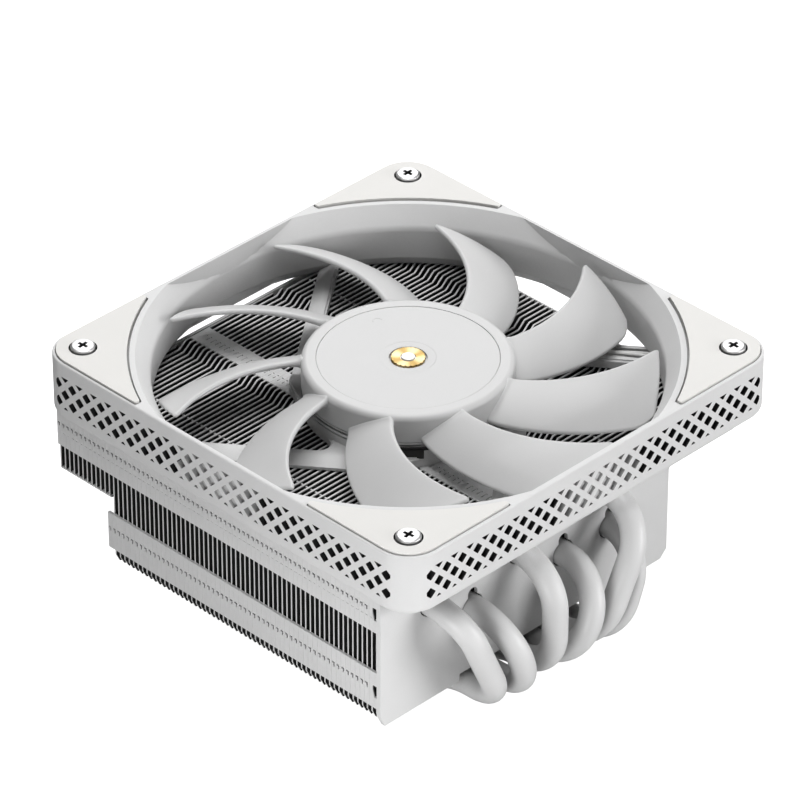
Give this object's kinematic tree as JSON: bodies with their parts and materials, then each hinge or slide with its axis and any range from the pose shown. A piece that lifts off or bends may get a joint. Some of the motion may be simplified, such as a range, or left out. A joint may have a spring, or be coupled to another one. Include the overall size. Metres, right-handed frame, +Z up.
{
  "type": "cpu cooler",
  "caption": "Low-profile white CPU cooler: square slim fan blowing down through a finned stack, bent heat pipes and a sprung clamped base.",
  "frame": {"origin": "centre of the cold plate's contact face, where it meets the processor", "axes": "+Z up from the contact face through the heatsink to the fan, +X towards the side where the heat pipes bend round, +Y towards the side where the fins and the fan overhang the base"},
  "size_m": [0.1252, 0.1231, 0.0678],
  "materials": {
    "frame_plastic": "fine-textured matt white",
    "pad_rubber": "matt warm white",
    "blade_plastic": "satin white",
    "badge_brass": "spun gold with a bright centre",
    "screw_steel": "bright plated",
    "spring_steel": "drawn wire",
    "bar_steel": "satin plated",
    "motor_steel": "electrical steel",
    "magnet_ferrite": "dark grey, dull",
    "sleeve_bronze": "sintered bronze",
    "coil_copper": "lacquered copper wire",
    "board_green": "solder mask",
    "cable_white": "matt white",
    "fin_paint": "satin white paint",
    "pipe_paint": "satin white paint",
    "plate_nickel": "nickel plated, fine turned finish"
  },
  "bodies": {
    "heatsink": {"fan_frame": "frame_plastic", "corner_pad_back_right": "pad_rubber", "corner_pad_back_left": "pad_rubber", "corner_pad_front_left": "pad_rubber", "corner_pad_front_right": "pad_rubber", "fan_screw_back_right": "screw_steel", "fan_screw_back_left": "screw_steel", "fan_screw_front_left": "screw_steel", "fan_screw_front_right": "screw_steel", "base_screw_back_right": "screw_steel", "base_screw_back_left": "screw_steel", "base_screw_front_left": "screw_steel", "base_screw_front_right": "screw_steel", "bar_screw_front": "screw_steel", "bar_screw_back": "screw_steel", "screw_spring_front": "spring_steel", "screw_spring_back": "spring_steel", "crossbar": "bar_steel", "stator_core": "motor_steel", "bearing_sleeve": "sleeve_bronze", "stator_coil_1": "coil_copper", "stator_coil_2": "coil_copper", "stator_coil_3": "coil_copper", "stator_coil_4": "coil_copper", "motor_board": "board_green", "fan_cable": "cable_white", "fan_plug": "cable_white", "fin_stack": "fin_paint", "end_plate_left": "fin_paint", "end_plate_right": "fin_paint", "base_cover": "fin_paint", "heat_pipe_1": "pipe_paint", "heat_pipe_2": "pipe_paint", "heat_pipe_3": "pipe_paint", "heat_pipe_4": "pipe_paint", "heat_pipe_5": "pipe_paint", "heat_pipe_6": "pipe_paint", "cold_plate": "plate_nickel"},
    "rotor": {"impeller": "blade_plastic", "hub_cap": "blade_plastic", "bearing_cap": "badge_brass", "rotor_yoke": "motor_steel", "magnet_ring": "magnet_ferrite", "rotor_shaft": "screw_steel", "shaft_clip": "screw_steel"},
    "front_sprung_screw": {"spring_screw_front": "screw_steel", "screw_clip_front": "screw_steel"},
    "back_sprung_screw": {"spring_screw_back": "screw_steel", "screw_clip_back": "screw_steel"}
  },
  "joints": [
    {"name": "fan_spin", "type": "hinge", "parent": "heatsink", "child": "rotor", "pos_m": [0, 0.0117, 0.06], "axis": [0, 0, 1], "continuous": true},
    {"name": "front_screw_press", "type": "slide", "parent": "heatsink", "child": "front_sprung_screw", "axis": [0, 0, -1], "range_m": [0, 0.0018], "deforming": ["screw_spring_front"]},
    {"name": "back_screw_press", "type": "slide", "parent": "heatsink", "child": "back_sprung_screw", "axis": [0, 0, -1], "range_m": [0, 0.0018], "deforming": ["screw_spring_back"]}
  ]
}
